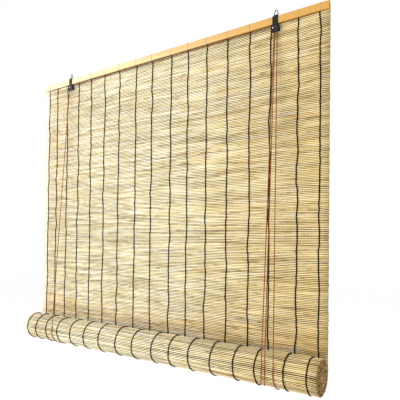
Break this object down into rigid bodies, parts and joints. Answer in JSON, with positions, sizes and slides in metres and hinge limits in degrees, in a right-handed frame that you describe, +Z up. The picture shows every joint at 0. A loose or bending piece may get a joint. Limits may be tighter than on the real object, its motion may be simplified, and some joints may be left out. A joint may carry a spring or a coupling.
{
  "type": "roll up blind",
  "caption": "Wide roll-up blind of split reeds tied with dark thread: a wooden head batten on wire-loop hangers, a round rolled lower part and a cord lift.",
  "frame": {"origin": "midway between the two wire bails, at the height where a hook bears on the inside of each", "axes": "+X along the head batten, towards the end with the cord lock; +Y from the room towards the window; +Z up"},
  "size_m": [1.2, 0.1082, 1.0882],
  "materials": {
    "batten_wood": "planed softwood, thin clear varnish",
    "reed": "split reed, natural, faintly glossy skin",
    "dark_thread": "dark brown twisted cotton",
    "pale_thread": "undyed twisted thread",
    "dark_steel": "black stove enamel on folded sheet steel",
    "zinc_wire": "darkened zinc on steel wire",
    "black_nylon": "moulded nylon",
    "bright_rivet": "nickel-plated steel",
    "brown_cord": "braided cotton, reddish brown"
  },
  "bodies": {
    "head": {"head_batten": "batten_wood", "batten_lashings": "pale_thread", "top_binding_thread": "dark_thread", "hanging_mat": "reed", "warp_threads": "dark_thread", "left_hanger_housing": "dark_steel", "left_pulley_rivet": "bright_rivet", "left_anchor_knot": "brown_cord", "right_hanger_housing": "dark_steel", "cross_pulley_rivet": "bright_rivet", "lift_pulley_rivet": "bright_rivet", "lock_post": "bright_rivet", "right_anchor_knot": "brown_cord", "left_cord_rear": "brown_cord", "right_cord_rear": "brown_cord", "left_cord_front": "brown_cord", "right_cord_front": "brown_cord", "left_cord_crossing": "brown_cord", "right_cord_lock_run": "brown_cord", "left_pull_cord": "brown_cord", "right_pull_cord": "brown_cord"},
    "carriage": {"left_cord_sling": "brown_cord", "right_cord_sling": "brown_cord", "left_pull_cord_end": "brown_cord", "right_pull_cord_end": "brown_cord", "left_pull_knot": "brown_cord", "right_pull_knot": "brown_cord"},
    "roll": {"rolled_mat": "reed", "roll_threads": "dark_thread", "bottom_batten": "batten_wood"},
    "left_bail": {"left_bail": "zinc_wire"},
    "right_bail": {"right_bail": "zinc_wire"},
    "left_pulley": {"left_pulley": "black_nylon"},
    "cross_pulley": {"cross_pulley": "black_nylon"},
    "lift_pulley": {"lift_pulley": "black_nylon"},
    "lock_roller": {"lock_roller": "black_nylon"}
  },
  "joints": [
    {"name": "roll_lift", "type": "slide", "parent": "head", "child": "carriage", "axis": [0, 0, 1], "range_m": [0, 0.75], "deforming": ["hanging_mat", "warp_threads", "left_cord_rear", "right_cord_rear", "left_cord_front", "right_cord_front", "left_pull_cord", "right_pull_cord"]},
    {"name": "roll_turn", "type": "hinge", "parent": "carriage", "child": "roll", "pos_m": [0, -0.04275, -1.034], "axis": [1, 0, 0], "range_deg": [-950, 0]},
    {"name": "left_bail_swing", "type": "hinge", "parent": "head", "child": "left_bail", "pos_m": [-0.435, 0, -0.0143], "axis": [1, 0, 0], "range_deg": [-90, 90]},
    {"name": "right_bail_swing", "type": "hinge", "parent": "head", "child": "right_bail", "pos_m": [0.446, 0, -0.0143], "axis": [1, 0, 0], "range_deg": [-90, 90]},
    {"name": "left_pulley_spin", "type": "hinge", "parent": "head", "child": "left_pulley", "pos_m": [-0.4414, -0.003, -0.0514], "axis": [0, 1, 0], "continuous": true},
    {"name": "cross_pulley_spin", "type": "hinge", "parent": "head", "child": "cross_pulley", "pos_m": [0.4386, -0.003, -0.0514], "axis": [0, 1, 0], "continuous": true},
    {"name": "lift_pulley_spin", "type": "hinge", "parent": "head", "child": "lift_pulley", "pos_m": [0.4477, -0.003, -0.0514], "axis": [0, 1, 0], "continuous": true},
    {"name": "lock_roller_slide", "type": "slide", "parent": "head", "child": "lock_roller", "axis": [-0.4191, 0, -0.908], "range_m": [0, 0.0028]}
  ],
  "couplings": [
    {"joint": "roll_turn", "follows": "roll_lift", "rad_per_m": -21.39},
    {"joint": "left_pulley_spin", "follows": "roll_lift", "rad_per_m": 625},
    {"joint": "cross_pulley_spin", "follows": "roll_lift", "rad_per_m": 625},
    {"joint": "lift_pulley_spin", "follows": "roll_lift", "rad_per_m": -625}
  ]
}
